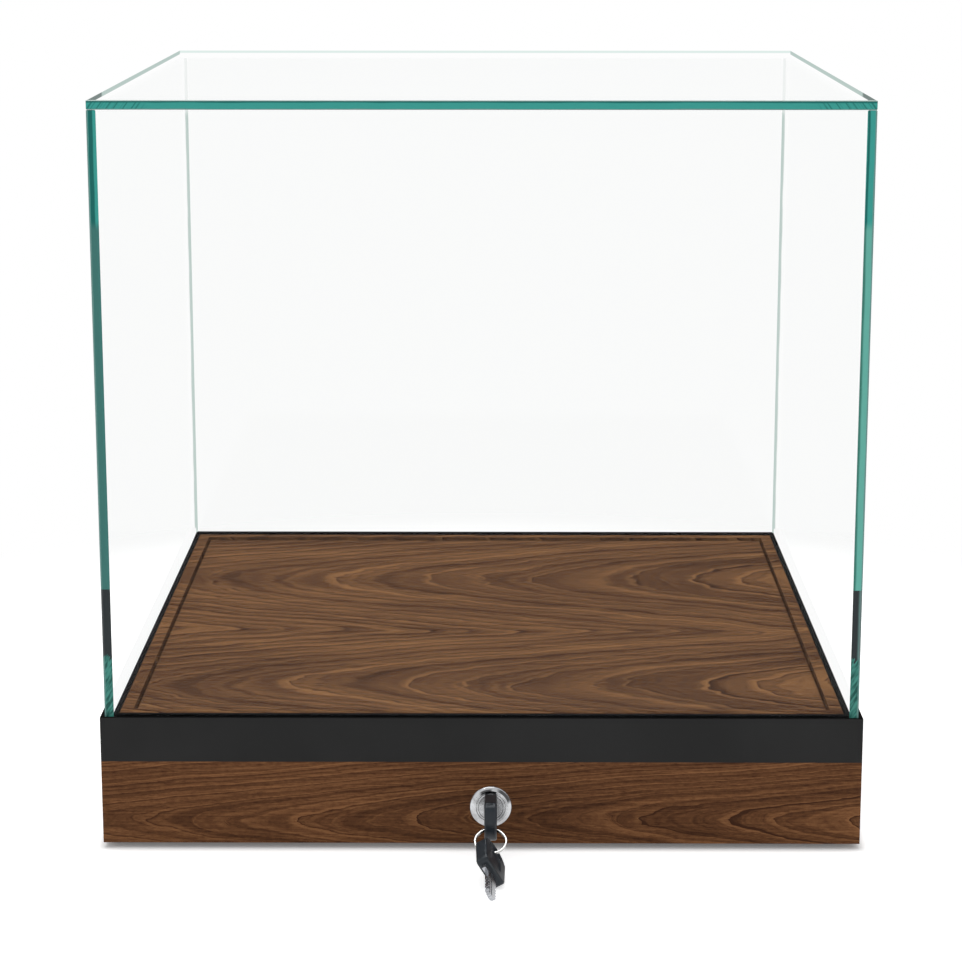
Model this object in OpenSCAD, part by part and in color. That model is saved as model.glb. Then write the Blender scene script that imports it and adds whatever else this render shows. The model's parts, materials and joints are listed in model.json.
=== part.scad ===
// Countertop display case. A glass hood in a black rail frame lifts off a walnut base, and a cam lock in
// the base holds it down. Sizes are in millimetres. The origin is on the counter at the centre of the
// footprint, +Z is up, and the front with the lock faces -Y.

/* [Case] */
// Width of the case, left to right
case_w = 400; // [300:1:600]
// Depth of the case, front to back
case_d = 400; // [300:1:600]
// Height of the walnut skirt round the base
skirt_h = 45; // [42:1:80]
// Height of the black rail frame under the glass
rail_h = 24; // [22:1:40]
// Height of the glass above the top of the rail frame
glass_rise = 322; // [150:1:600]
// Gap between the counter and the underside of the skirt
foot_gap = 3; // [2:0.5:8]

/* [Glass] */
// Thickness of each glass panel
glass_t = 4.8; // [4:0.2:8]
// Glue line between two glass panels
bond = 0.1; // [0.05:0.05:0.3]
// Width of the polished arris along the panels' edges
arris = 0.4; // [0.2:0.1:1]

/* [Rail frame] */
// Thickness of the lip outside the glass
lip_t = 1.8; // [1.2:0.1:4]
// Thickness of the lip inside the glass
inner_lip_t = 1; // [0.8:0.1:3]
// Thickness of the glazing seal at each side of the glass
seal_t = 0.5; // [0.3:0.1:1.5]
// Thickness of the glazing seal under the glass
seal_bed = 1; // [0.5:0.1:3]
// Depth of the channel that holds the glass
channel_d = 10; // [6:0.5:14]
// Thickness of the walls round the rail's hollow chamber
rail_wall = 1.6; // [1.2:0.1:2.2]
// Length of each leg of a corner key inside the rails
corner_leg = 30; // [20:1:60]
// Gap between a corner key and the chamber
corner_gap = 0.15; // [0.05:0.05:0.4]

/* [Base] */
// Gap between the rails and the upstand that they slide over
run_gap = 0.6; // [0.3:0.1:1.5]
// Thickness of the upstand boards, whose top edges frame the deck
board_t = 6.4; // [5:0.1:9]
// Thickness of the deck panel
deck_t = 6; // [4:0.5:12]
// Depth of the deck below the upstand's top edge
deck_drop = 1.8; // [0.5:0.1:6]
// Width of the shadow line round the deck
deck_gap = 1.6; // [0.4:0.1:3]
// Depth of the shadow line below the deck's face
deck_step = 2.6; // [1:0.1:3.5]
// Fitting gap between the deck's lower edge and the upstand
deck_fit = 0.2; // [0.1:0.05:0.4]
// Thickness of the bottom panel
bottom_t = 6; // [4:0.5:10]
// Depth of the bottom panel's underside inside the skirt
bottom_recess = 1; // [0:0.5:4]
// Width and height of the cleats under the deck and on the bottom panel
cleat = 12; // [10:0.5:14]
// Diameter of a rubber foot
foot_d = 18; // [12:1:40]
// Distance from the case's sides to the centre of each foot
foot_inset = 35; // [30:1:80]

/* [Lock] */
// Distance of the lock to the right of the middle
lock_x = 5; // [-40:1:40]
// Depth of the lock's axis below the skirt's top edge
lock_drop = 24.4; // [24.2:0.1:26]
// Diameter of the lock's round face
bezel_d = 22.3; // [21:0.1:30]
// Thickness of the lock's round face
bezel_t = 2.2; // [1.5:0.1:4]
// Diameter of the threaded barrel
barrel_d = 19; // [18:0.1:20]
// Height of the barrel across its two flats
barrel_flats = 16; // [15:0.1:17]
// Length of the barrel behind the skirt's face
barrel_l = 20; // [18:0.5:30]
// Diameter of the plug's face
plug_face_d = 15.2; // [13:0.1:16]
// Depth of the plug's face in the housing
plug_face_l = 4; // [2:0.1:6]
// Diameter of the plug's body
plug_d = 12.4; // [11.6:0.1:12.8]
// Radial clearance between the turning plug and its housing
plug_gap = 0.05; // [0.02:0.01:0.1]
// Width across the flats of the lock nut
nut_af = 22; // [21:0.5:23]
// Thickness of the lock nut
nut_t = 3; // [2:0.5:5]

/* [Cam and catch] */
// Thickness of the cranked cam
cam_t = 2; // [1.5:0.1:2.2]
// Width of the cam's arm
cam_w = 9; // [7:0.5:10]
// Radius at which the cam's crank starts
crank_r = 13.5; // [13.4:0.1:14]
// Radius of the cam's tip
cam_r = 21.5; // [19:0.5:21.6]
// Thickness of the hood catch
catch_t = 1.6; // [1.2:0.1:2]
// Width of the catch's leg and foot
catch_w = 10; // [8:0.5:12]
// Width of the catch's flange under the rail
flange_w = 29; // [26:0.5:40]
// Distance from the case's front face to the catch's leg
leg_in = 3.2; // [3:0.1:3.4]
// Height of the foot's underside above the lock's axis
foot_up = 9.9; // [9.6:0.1:10]
// Thickness of the foot
foot_t = 2.2; // [1.8:0.1:2.4]
// Working clearance round the cam and the catch
catch_gap = 0.5; // [0.4:0.05:0.6]

/* [Keys] */
// Length of a key's plastic head
head_l = 24; // [20:0.5:30]
// Width of a key's plastic head
head_w = 20.5; // [18:0.5:24]
// Thickness of a key's plastic head
head_t = 6.5; // [5:0.1:7]
// Length of the key's shoulder between head and plug
shoulder_l = 3.4; // [2:0.1:6]
// Width of the key's shoulder
shoulder_w = 10.6; // [9:0.1:12]
// Width of the key's blade
blade_w = 7.6; // [7:0.1:8]
// Thickness of the key's blade
blade_t = 2.1; // [1.6:0.1:2.2]
// Length of the blade beyond the shoulder
blade_l = 19; // [16:0.5:19.5]
// Outer diameter of the split ring
ring_d = 17.3; // [17:0.1:24]
// Height above the counter at which the spare key hangs on the ring
spare_h = 12.5; // [12.3:0.1:15]
// Slope of the spare key towards the counter
spare_slope = 10; // [9:0.5:11]
// Angle between the spare key's slot and the ring's wire
spare_turn = 30; // [26:1:32]

/* [Hidden] */
$fn = 96;
eps = 0.01;

// Finishes
walnut = [0.40, 0.26, 0.17];
plywood = [0.72, 0.58, 0.42];
black_metal = [0.15, 0.15, 0.15];
black_rubber = [0.06, 0.06, 0.06];
glass_tint = [0.35, 0.72, 0.68, 0.35];
steel = [0.72, 0.72, 0.72];
chrome = [0.82, 0.82, 0.82];
brass = [0.78, 0.64, 0.34];
black_plastic = [0.14, 0.16, 0.18];

// Heights
z_rail = foot_gap + skirt_h;
z_rim = z_rail + rail_h;
z_top = z_rim + glass_rise;
z_deck = z_rim - deck_drop;
z_bottom = foot_gap + bottom_recess;
z_lock = z_rail - lock_drop;

// Distances in from the case's outer faces
rail_w = lip_t + inner_lip_t + 2 * seal_t + glass_t;
skirt_t = rail_w + run_gap;
glass_in = lip_t + seal_t;
inside_in = skirt_t + board_t;
half_w = case_w / 2;
half_d = case_d / 2;
z_chamber = z_rail + rail_wall;
chamber_h = rail_h - channel_d - 2 * rail_wall;
chamber_w = rail_w - 2 * rail_wall;

// Fasteners
catch_screw_d = 2.5;
catch_screw_head_d = 4.6;
catch_screw_head_h = 1.5;
catch_screw_l = 4.6;
catch_screw_edge = 4.5;
catch_screw_x = flange_w / 2 - catch_screw_edge;
catch_recess = [2.6, 0.6, 0.8];
bottom_screw_d = 3.5;
bottom_screw_head_d = 7;
bottom_screw_head_h = 2;
bottom_screw_l = 15;
bottom_screw_point = 2;
bottom_recess_size = [4, 0.9, 1.2];
cam_screw_d = 3;
cam_screw_in = 4.2;
cam_screw_head_af = 5.5;
cam_screw_head_h = 3;
cam_screw_flange = [10, 0.8];
screw_gap = 0.05;
screws_from_middle = 0.6;
cleat_gap = 0.2;
nut_room = 6;
cleat_room = 8;

// Lock, measured along Y back from the skirt's face
flange_in = leg_in - 0.6;
foot_end_in = skirt_t - catch_gap;
tip_in = leg_in + catch_t + catch_gap;
screw_in = leg_in + catch_t / 2 + 1;
plug_out = bezel_t + 0.3;
cam_seat = barrel_l + 0.2;
stub = 6.8;
stub_l = cam_t - 0.2;
cam_hub_d = 16;
keyway_gap = 0.15;
pocket_r = cam_r + 0.9;
pocket_inner_r = crank_r - 0.6;
pocket_side = cam_w / 2 + 1.5;
wafer_t = 1;
wafer_w = 6.6;
wafer_pitch = 2.6;
wafer_first = 6.5;
wafer_count = 5;

// Keys, along a key from the end of its head
slot_at = 4.4;
slot_w = 3.3;
slot_l = 9.8;
dish_d = 1.3;
dish_size = [5.4, 11.6];
dish_corner = 2.4;
end_r = 12;
corner_r = 2.5;
head_taper = 1.6;
tang_l = 9;
head_bevel = 1.1;
panel_d = 0.6;
panel_size = [10, 8.6];
panel_corner = 1.8;
panel_gap = 1.6;
bitting = [1.4, 0.6, 1.8, 1.0, 1.5];
back_bitting = [0.7, 1.1, 0.5, 1.2, 0.8];
grooves = [[0.2, 0.9], [2, 0.7]];
groove_d = 0.4;
key_end_out = plug_out + shoulder_l + head_l;

// Ring
wire_w = 1.2;
wire_h = 0.74;
coil_gap = 0.04;
ring_r = (ring_d - wire_w) / 2;
ring_turns = 2;
ring_steps = 64;
ring_end = 20;
jog_over = 40;
ring_hook = [lock_x, -half_d - key_end_out + slot_at + 0.2, z_lock - slot_l / 2 + slot_w / 2 - 0.2];
ring_lean = acos(max(-1, min(1, (ring_hook[2] - spare_h) / (2 * ring_r))));
spare_slot = slot_at - 0.25;

// Faces of the case: what is drawn with its outer face on y = 0 goes to each side
module at_front() translate([0, -half_d, 0]) children();
module at_back() rotate([0, 0, 180]) translate([0, -half_d, 0]) children();
module at_left() rotate([0, 0, -90]) translate([0, -half_w, 0]) children();
module at_right() rotate([0, 0, 90]) translate([0, -half_w, 0]) children();
module at_lock() translate([lock_x, -half_d, z_lock]) children();

// A board along X whose ends are mitred at 45 degrees, its outer face on y = 0
module mitred(length, thick, height) {
    linear_extrude(height)
        polygon([
            [-length / 2, 0], [length / 2, 0], [length / 2 - thick, thick], [-length / 2 + thick, thick]
        ]);
}

// A rectangle with rounded corners, centred, drawn from exact arcs
module round_rect(size, r) {
    square([size[0] - 2 * r, size[1]], center = true);
    square([size[0], size[1] - 2 * r], center = true);
    for (x = [-1, 1], y = [-1, 1])
        translate([x * (size[0] / 2 - r), y * (size[1] / 2 - r)]) circle(r, $fn = 48);
}

// What is drawn in the XY plane stands up facing -Y, and is extruded back from there
module facing(depth) rotate([90, 0, 0]) translate([0, 0, -depth]) linear_extrude(depth) children();

// A cylinder along +Y from y = 0
module along_y(d, length) rotate([-90, 0, 0]) cylinder(d = d, h = length);

// Cross recess in the head of a screw that points up: length and width of its slots, and its depth
module cross_recess(size)
    translate([0, 0, -eps]) linear_extrude(size[2]) {
        square([size[0], size[1]], center = true);
        square([size[1], size[0]], center = true);
    }

// Glass

// A rectangle whose corners are cut off by the arris
module arrised(a, b) {
    polygon([
        [arris, 0], [a - arris, 0], [a, arris], [a, b - arris],
        [a - arris, b], [arris, b], [0, b - arris], [0, arris]
    ]);
}

// A slab from the origin whose long edges have a polished arris
module glass_slab(size) {
    intersection() {
        translate([0, size[1], 0]) rotate([90, 0, 0]) linear_extrude(size[1]) arrised(size[0], size[2]);
        rotate([90, 0, 90]) linear_extrude(size[0]) arrised(size[1], size[2]);
        linear_extrude(size[2]) arrised(size[0], size[1]);
    }
}

glass_w = case_w - 2 * glass_in;
glass_dp = case_d - 2 * glass_in;
glass_foot = z_rim - channel_d + seal_bed;
wall_h = z_top - glass_t - bond - glass_foot;

module glass_top()
    color(glass_tint)
    translate([-glass_w / 2, -glass_dp / 2, z_top - glass_t])
    glass_slab([glass_w, glass_dp, glass_t]);

module side_glass()
    color(glass_tint)
    translate([-glass_dp / 2, glass_in, glass_foot])
    glass_slab([glass_dp, glass_t, wall_h]);

module end_glass() {
    width = glass_w - 2 * glass_t - 2 * bond;
    color(glass_tint)
    translate([-width / 2, glass_in, glass_foot])
    glass_slab([width, glass_t, wall_h]);
}

module glass_front() at_front() end_glass();
module glass_back() at_back() end_glass();
module glass_left() at_left() side_glass();
module glass_right() at_right() side_glass();

// Rail frame

// An extruded rail with a glazing channel on top and a hollow chamber below it
module rail(length) {
    color(black_metal)
    translate([0, 0, z_rail])
    difference() {
        mitred(length, rail_w, rail_h);
        translate([-length / 2 - 1, lip_t, rail_h - channel_d])
            cube([length + 2, rail_w - lip_t - inner_lip_t, channel_d + 1]);
        translate([-length / 2 - 1, rail_wall, rail_wall])
            cube([length + 2, chamber_w, chamber_h]);
    }
}

module catch_screw_places()
    for (side = [-1, 1])
        translate([lock_x + side * catch_screw_x, screw_in, z_rail]) children();

module rail_front()
    at_front() difference() {
        rail(case_w);
        catch_screw_places() translate([0, 0, -1])
            cylinder(d = catch_screw_d + 2 * screw_gap, h = rail_wall + 2);
    }
module rail_back() at_back() rail(case_w);
module rail_left() at_left() rail(case_d);
module rail_right() at_right() rail(case_d);

// An L-shaped key that joins two rails inside their chambers
module corner_key() {
    width = chamber_w - 2 * corner_gap;
    first = rail_wall + corner_gap;
    linear_extrude(chamber_h - 2 * corner_gap)
        translate([first, first]) union() {
            square([corner_leg, width]);
            square([width, corner_leg]);
        }
}

module rail_corner_keys()
    color(steel)
    translate([0, 0, z_chamber + corner_gap])
    for (sx = [0, 1], sy = [0, 1])
        mirror([sx, 0, 0]) mirror([0, sy, 0]) translate([-half_w, -half_d, 0]) corner_key();

// A U-shaped gasket that runs round the channel and holds the glass
module glazing_seal() {
    outer = [case_w - 2 * lip_t, case_d - 2 * lip_t];
    inner = [case_w - 2 * (rail_w - inner_lip_t), case_d - 2 * (rail_w - inner_lip_t)];
    groove_out = [glass_w, glass_dp];
    groove_in = [glass_w - 2 * glass_t, glass_dp - 2 * glass_t];
    color(black_rubber)
    translate([0, 0, z_rim - channel_d]) difference() {
        linear_extrude(channel_d - 0.3) difference() {
            square(outer, center = true);
            square(inner, center = true);
        }
        translate([0, 0, seal_bed]) linear_extrude(channel_d) difference() {
            square(groove_out, center = true);
            square(groove_in, center = true);
        }
    }
}

// The steel catch hangs from the front rail: flange, leg, and a foot that turns back under the cam's tip
module hood_catch() {
    foot_l = foot_end_in - leg_in;
    leg_bottom = z_lock + foot_up;
    color(steel)
    at_front() difference() {
        translate([lock_x, 0, 0]) union() {
            translate([-flange_w / 2, flange_in, z_rail - catch_t])
                cube([flange_w, foot_end_in - flange_in, catch_t]);
            translate([-catch_w / 2, leg_in, leg_bottom])
                cube([catch_w, catch_t, z_rail - leg_bottom]);
            translate([-catch_w / 2, leg_in, leg_bottom])
                cube([catch_w, foot_l, foot_t]);
        }
        catch_screw_places() translate([0, 0, -catch_t - 1])
            cylinder(d = catch_screw_d + 2 * screw_gap, h = catch_t + 2);
    }
}

// Pan-head screws up through the catch into the rail
module catch_screws() {
    color(steel)
    at_front() catch_screw_places() difference() {
        union() {
            translate([0, 0, -catch_t - catch_screw_head_h])
                cylinder(d = catch_screw_head_d, h = catch_screw_head_h, $fn = 48);
            translate([0, 0, -catch_t]) cylinder(d = catch_screw_d, h = catch_screw_l, $fn = 48);
        }
        translate([0, 0, -catch_t - catch_screw_head_h]) cross_recess(catch_recess);
    }
}

// Base

module lock_hole_shape()
    intersection() {
        circle(d = barrel_d + 0.2);
        square([barrel_d + 1, barrel_flats + 0.2], center = true);
    }

// The quarter turn that the cam's tip sweeps, from pointing left to pointing up
module cam_sweep_shape()
    difference() {
        intersection() {
            circle(pocket_r);
            translate([-pocket_r, -pocket_side]) square(pocket_r + pocket_side);
        }
        circle(pocket_inner_r);
    }

module skirt(length) color(walnut) translate([0, 0, foot_gap]) mitred(length, skirt_t, skirt_h);

// The front board is bored for the lock and cut from behind for the cam's tip and the catch
module skirt_front() {
    foot_room = catch_w + 2;
    leg_front = leg_in - catch_gap;
    flange_front = flange_in - catch_gap;
    mortise_bottom = foot_up - 0.9;
    head_room = catch_t + catch_screw_head_h + catch_gap;
    difference() {
        at_front() skirt(case_w);
        color(walnut) at_lock() {
            translate([0, -1, 0]) facing(skirt_t + 2) lock_hole_shape();
            translate([0, tip_in - catch_gap, 0]) facing(skirt_t) cam_sweep_shape();
            translate([-foot_room / 2, leg_front, mortise_bottom]) cube([foot_room, skirt_t, lock_drop]);
            translate([-flange_w / 2 - 1, flange_front, lock_drop - head_room])
                cube([flange_w + 2, skirt_t, head_room + 1]);
        }
    }
}
module skirt_back() at_back() skirt(case_w);
module skirt_left() at_left() skirt(case_d);
module skirt_right() at_right() skirt(case_d);

module upstand(length)
    color(walnut)
    translate([0, skirt_t, foot_gap])
    mitred(length - 2 * skirt_t, board_t, skirt_h + rail_h);

// The front upstand has a window behind the skirt for the nut and the cam's crank
module upstand_front() {
    window_left = pocket_r + 0.6;
    window_right = nut_af / 2 + nut_room;
    window_up = lock_drop - 1.2;
    window_down = nut_af / 2 + nut_room / 2;
    difference() {
        at_front() upstand(case_w);
        color(walnut) at_lock() translate([0, skirt_t - 1, 0]) facing(board_t + 2)
            translate([(window_right - window_left) / 2, (window_up - window_down) / 2])
            round_rect([window_left + window_right, window_up + window_down], 3);
    }
}
module upstand_back() at_back() upstand(case_w);
module upstand_left() at_left() upstand(case_d);
module upstand_right() at_right() upstand(case_d);

inside_w = case_w - 2 * inside_in;
inside_d = case_d - 2 * inside_in;

// Deck with a rebated edge, which leaves the shadow line between its face and the upstand
module deck_panel()
    color(walnut) translate([0, 0, z_deck - deck_t]) {
        linear_extrude(deck_t - deck_step)
            square([inside_w - 2 * deck_fit, inside_d - 2 * deck_fit], center = true);
        linear_extrude(deck_t)
            square([inside_w - 2 * deck_gap, inside_d - 2 * deck_gap], center = true);
    }

// Four cleats along the upstand's inner faces, under the deck
module deck_cleats() {
    side_l = inside_d - 2 * cleat - 2 * cleat_gap;
    color(plywood) translate([0, 0, z_deck - deck_t - cleat]) {
        for (side = [-1, 1]) {
            translate([-inside_w / 2, side < 0 ? -inside_d / 2 : inside_d / 2 - cleat, 0])
                cube([inside_w, cleat, cleat]);
            translate([side < 0 ? -inside_w / 2 : inside_w / 2 - cleat, -side_l / 2, 0])
                cube([cleat, side_l, cleat]);
        }
    }
}

// Places of the bottom screws, in the middle of each cleat: on x = +-, then on y = +-
bottom_screw_xy = [
    for (side = [-1, 1], along = [-1, 1])
        [side * (inside_w - cleat) / 2, along * screws_from_middle * inside_d / 2],
    for (side = [-1, 1], along = [-1, 1])
        [along * screws_from_middle * inside_w / 2, side * (inside_d - cleat) / 2]
];

module bottom_screw_places(z) for (p = bottom_screw_xy) translate([p[0], p[1], z]) children();

module bottom_panel()
    color(plywood) difference() {
        translate([0, 0, z_bottom]) linear_extrude(bottom_t)
            square([inside_w - 0.4, inside_d - 0.4], center = true);
        bottom_screw_places(z_bottom) {
            translate([0, 0, -1]) cylinder(d = bottom_screw_d + 2 * screw_gap, h = bottom_t + 2);
            translate([0, 0, -eps])
                cylinder(
                    d1 = bottom_screw_head_d + 2 * screw_gap,
                    d2 = bottom_screw_d + 2 * screw_gap,
                    h = bottom_screw_head_h + eps
                );
        }
    }

// Cleats on the bottom panel. The front one leaves room for the lock
module bottom_cleats() {
    side_l = inside_d - 2 * cleat - 2 * cleat_gap;
    lock_room_left = pocket_r + cleat_room / 2;
    lock_room_right = nut_af / 2 + cleat_room;
    front_left_l = inside_w / 2 + lock_x - lock_room_left;
    front_right_l = inside_w / 2 - lock_x - lock_room_right;
    color(plywood) difference() {
        translate([0, 0, z_bottom + bottom_t]) {
            translate([-inside_w / 2, -inside_d / 2, 0]) cube([front_left_l, cleat, cleat]);
            translate([lock_x + lock_room_right, -inside_d / 2, 0]) cube([front_right_l, cleat, cleat]);
            translate([-inside_w / 2, inside_d / 2 - cleat, 0]) cube([inside_w, cleat, cleat]);
            for (side = [-1, 1])
                translate([side < 0 ? -inside_w / 2 : inside_w / 2 - cleat, -side_l / 2, 0])
                    cube([cleat, side_l, cleat]);
        }
        bottom_screw_places(z_bottom)
            cylinder(d = bottom_screw_d + 2 * screw_gap, h = bottom_screw_l + 0.5, $fn = 48);
    }
}

// Countersunk screws up through the bottom panel into the cleats
module bottom_screws()
    color(steel) bottom_screw_places(z_bottom) difference() {
        union() {
            cylinder(d1 = bottom_screw_head_d, d2 = bottom_screw_d, h = bottom_screw_head_h, $fn = 48);
            cylinder(d = bottom_screw_d, h = bottom_screw_l - bottom_screw_point, $fn = 48);
            translate([0, 0, bottom_screw_l - bottom_screw_point])
                cylinder(d1 = bottom_screw_d, d2 = 0.6, h = bottom_screw_point, $fn = 48);
        }
        cross_recess(bottom_recess_size);
    }

// Rubber bumpers under the bottom panel's corners
module rubber_feet()
    color(black_rubber)
    for (sx = [-1, 1], sy = [-1, 1])
        translate([sx * (half_w - foot_inset), sy * (half_d - foot_inset), 0]) rotate_extrude()
            polygon([
                [0, 0], [foot_d / 2 - 2.2, 0], [foot_d / 2 - 1.2, 0.8],
                [foot_d / 2, z_bottom], [0, z_bottom]
            ]);

// Lock

// Housing: a round bevelled face, a barrel with two flats, and a stepped bore for the plug
module lock_housing() {
    face_r = bezel_d / 2;
    bore_r = plug_face_d / 2 + plug_gap;
    color(chrome) at_lock() difference() {
        union() {
            rotate([90, 0, 0]) rotate_extrude()
                polygon([
                    [0, 0], [face_r, 0], [face_r, bezel_t - 1.2], [face_r - 0.35, bezel_t - 0.75],
                    [face_r - 1.6, bezel_t - 0.2], [face_r - 2, bezel_t], [0, bezel_t]
                ]);
            intersection() {
                translate([0, -eps, 0]) along_y(barrel_d, barrel_l + eps);
                translate([-barrel_d, -1, -barrel_flats / 2])
                    cube([2 * barrel_d, barrel_l + 2, barrel_flats]);
            }
        }
        translate([0, -bezel_t - 1, 0]) along_y(2 * bore_r, plug_face_l + 1.1);
        translate([0, -bezel_t, 0]) along_y(plug_d + 2 * plug_gap, barrel_l + bezel_t + 1);
    }
}

// Hexagonal nut that clamps the housing to the skirt's rear face
module lock_nut()
    color(steel) at_lock() translate([0, skirt_t, 0]) difference() {
        rotate([-90, 0, 0]) cylinder(d = nut_af / cos(30), h = nut_t, $fn = 6);
        translate([0, -1, 0]) along_y(barrel_d + 0.1, nut_t + 2);
    }

// Where the wafers sit, as distances back from the plug's face
wafer_places = [for (i = [0 : wafer_count - 1]) wafer_first + i * wafer_pitch];

// Plug: a wide face with a turned groove, a body with the keyway and the wafer slots, and a square stub
// for the cam
module lock_plug() {
    face_r = plug_face_d / 2;
    shoulder = plug_face_l - (plug_out - bezel_t) + 0.2;
    groove_r = face_r - 1.1;
    color(chrome) at_lock() difference() {
        union() {
            translate([0, shoulder - plug_out, 0]) rotate([90, 0, 0]) rotate_extrude()
                polygon([
                    [0, 0], [face_r, 0], [face_r, shoulder - 0.3], [face_r - 0.3, shoulder],
                    [groove_r + 0.15, shoulder], [groove_r + 0.15, shoulder - 0.3],
                    [groove_r - 0.15, shoulder - 0.3], [groove_r - 0.15, shoulder], [0, shoulder]
                ]);
            translate([0, -1, 0]) along_y(plug_d, cam_seat + 1);
            translate([-stub / 2, 0, -stub / 2]) cube([stub, cam_seat + stub_l, stub]);
        }
        translate([-blade_t / 2 - keyway_gap, -plug_out - 1, -blade_w / 2 - 2 * keyway_gap])
            cube([blade_t + 2 * keyway_gap, blade_l + 1 + 0.3, blade_w + 4 * keyway_gap]);
        for (y = wafer_places)
            translate([-wafer_w / 2 - 0.1, y - plug_out - 0.05, -plug_d])
                cube([wafer_w + 0.2, wafer_t + 0.1, 2 * plug_d]);
        translate([0, cam_seat + stub_l - cam_screw_in - 0.4, 0])
            along_y(cam_screw_d + 2 * screw_gap, cam_screw_in + 1);
    }
}

// Five brass wafers, each with a window that the blade passes through
module lock_wafers() {
    window_w = blade_t + 0.7;
    window_h = blade_w + 1;
    color(brass) at_lock() for (y = wafer_places)
        translate([0, y - plug_out, 0]) facing(wafer_t) difference() {
            intersection() {
                square([wafer_w, plug_d], center = true);
                circle(d = plug_d - 0.2);
            }
            square([window_w, window_h], center = true);
        }
}

// Cranked cam: it turns behind the barrel and reaches forward, so its tip stands over the catch's foot
module lock_cam() {
    set = cam_seat - tip_in + cam_t;
    color(steel) at_lock() difference() {
        union() {
            translate([0, cam_seat, 0]) along_y(cam_hub_d, cam_t);
            translate([-crank_r - cam_t, cam_seat, -cam_w / 2]) cube([crank_r + cam_t, cam_t, cam_w]);
            translate([-crank_r - cam_t, tip_in, -cam_w / 2]) cube([cam_t, set, cam_w]);
            translate([0, tip_in, 0]) facing(cam_t) intersection() {
                translate([-cam_r, -cam_w / 2]) square([cam_r - crank_r, cam_w]);
                circle(cam_r);
            }
        }
        translate([-stub / 2 - 0.1, 0, -stub / 2 - 0.1]) cube([stub + 0.2, cam_seat + cam_t + 1, stub + 0.2]);
    }
}

// Flanged hexagon screw that holds the cam on the plug
module cam_screw()
    color(steel) at_lock() {
        translate([0, cam_seat + cam_t, 0]) {
            along_y(cam_screw_flange[0], cam_screw_flange[1]);
            rotate([-90, 0, 0]) cylinder(d = cam_screw_head_af / cos(30), h = cam_screw_head_h, $fn = 6);
        }
        translate([0, cam_seat + stub_l - cam_screw_in, 0]) along_y(cam_screw_d, cam_screw_in + 0.8);
    }

// Keys. A key is drawn with its head's end at the origin, its length along +Y and its width along Z

// Outline of the head with u along the key, drawn in by an inset
module head_outline(inset) {
    rear_w = head_w - head_taper;
    intersection() {
        union() {
            translate([end_r, 0]) circle(end_r - inset, $fn = 64);
            translate([end_r, -head_w]) square([head_l, 2 * head_w]);
        }
        hull() for (side = [-1, 1]) {
            translate([head_l - corner_r, side * (rear_w / 2 - corner_r)])
                circle(corner_r - inset, $fn = 32);
            translate([end_r / 2 + 1, side * (head_w / 2 - corner_r)])
                circle(corner_r - inset, $fn = 32);
            translate([corner_r, side * (head_w / 2 - 2 * corner_r)])
                circle(corner_r - inset, $fn = 32);
        }
    }
}

// Puts a shape drawn with u and v on the key's own plane, centred on its thickness
module on_key(thick) rotate([90, 0, 90]) linear_extrude(thick, center = true) children();

// Moulded head: bevelled all round, with a ring slot in a shallow dish, a sunk panel in each face and a
// pocket for the tang
module key_head() {
    rim_t = head_t - 2 * head_bevel;
    panel_u = slot_at + dish_size[0] / 2 + panel_gap + panel_size[0] / 2;
    color(black_plastic) difference() {
        hull() {
            on_key(rim_t) head_outline(0);
            on_key(head_t) head_outline(head_bevel);
        }
        on_key(head_t + 2) translate([slot_at, 0]) round_rect([slot_w, slot_l], slot_w / 2 - eps);
        for (side = [-1, 1])
            translate([side * head_t / 2, 0, 0]) {
                on_key(2 * dish_d) translate([slot_at, 0]) round_rect(dish_size, dish_corner);
                on_key(2 * panel_d) translate([panel_u, 0]) round_rect(panel_size, panel_corner);
            }
        on_key(blade_t + 0.1) translate([head_l - tang_l - 0.05, -blade_w / 2 - 0.05])
            square([tang_l + 1, blade_w + 0.1]);
    }
}

// Notches along the blade's lower edge, one for each wafer
module notches(depths)
    for (i = [0 : wafer_count - 1])
        translate([head_l + shoulder_l + wafer_places[i] + wafer_t / 2, -blade_w / 2])
            polygon([
                [-0.5 - depths[i] / 2, -1], [-0.5, depths[i]], [0.5, depths[i]], [0.5 + depths[i] / 2, -1]
            ]);

// Blade: tang, shoulder, two cut edges and a rounded tip
module blade_outline() {
    half = blade_w / 2;
    start = head_l + shoulder_l;
    nose_at = start + blade_l - half - 0.4;
    difference() {
        union() {
            translate([head_l - tang_l, -half]) square([tang_l + shoulder_l, blade_w]);
            translate([head_l, -half]) square([shoulder_l, shoulder_w]);
            translate([start - 1, -half]) square([nose_at - start + 1, blade_w]);
            translate([nose_at, 0]) circle(half, $fn = 48);
            polygon([
                [nose_at, -half * 0.8], [start + blade_l, -0.6], [start + blade_l, 0.6],
                [nose_at, half * 0.8]
            ]);
        }
        notches(bitting);
        mirror([0, 1]) notches(back_bitting);
    }
}

module key_blade() {
    start = head_l + 1.2;
    groove_l = shoulder_l + blade_l - 2.4;
    color(chrome) difference() {
        on_key(blade_t) blade_outline();
        for (side = [-1, 1])
            for (g = grooves)
                translate([side * blade_t / 2, 0, 0]) on_key(2 * groove_d)
                    translate([start, g[0]]) square([groove_l, g[1]]);
    }
}

module at_key_1() translate([lock_x, -half_d - key_end_out, z_lock]) children();
module key_1_head() at_key_1() key_head();
module key_1_blade() at_key_1() key_blade();

// Split ring: two turns of flat wire, the lower crossing to the upper over a short jog
function ring_step(t) = t * t * (3 - 2 * t);
function jog_at(a) = max(0, min(1, (a - 180 * ring_turns) / jog_over + 0.5));
function coil_height(a) = (wire_h + coil_gap) * (ring_step(jog_at(a)) - 0.5);
function wire_corner(k) =
    let (share = [[2, 1], [1, 2], [-1, 2], [-2, 1], [-2, -1], [-1, -2], [1, -2], [2, -1]][k])
    [share[0] * wire_w / 4, share[1] * wire_h / 4];

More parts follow.
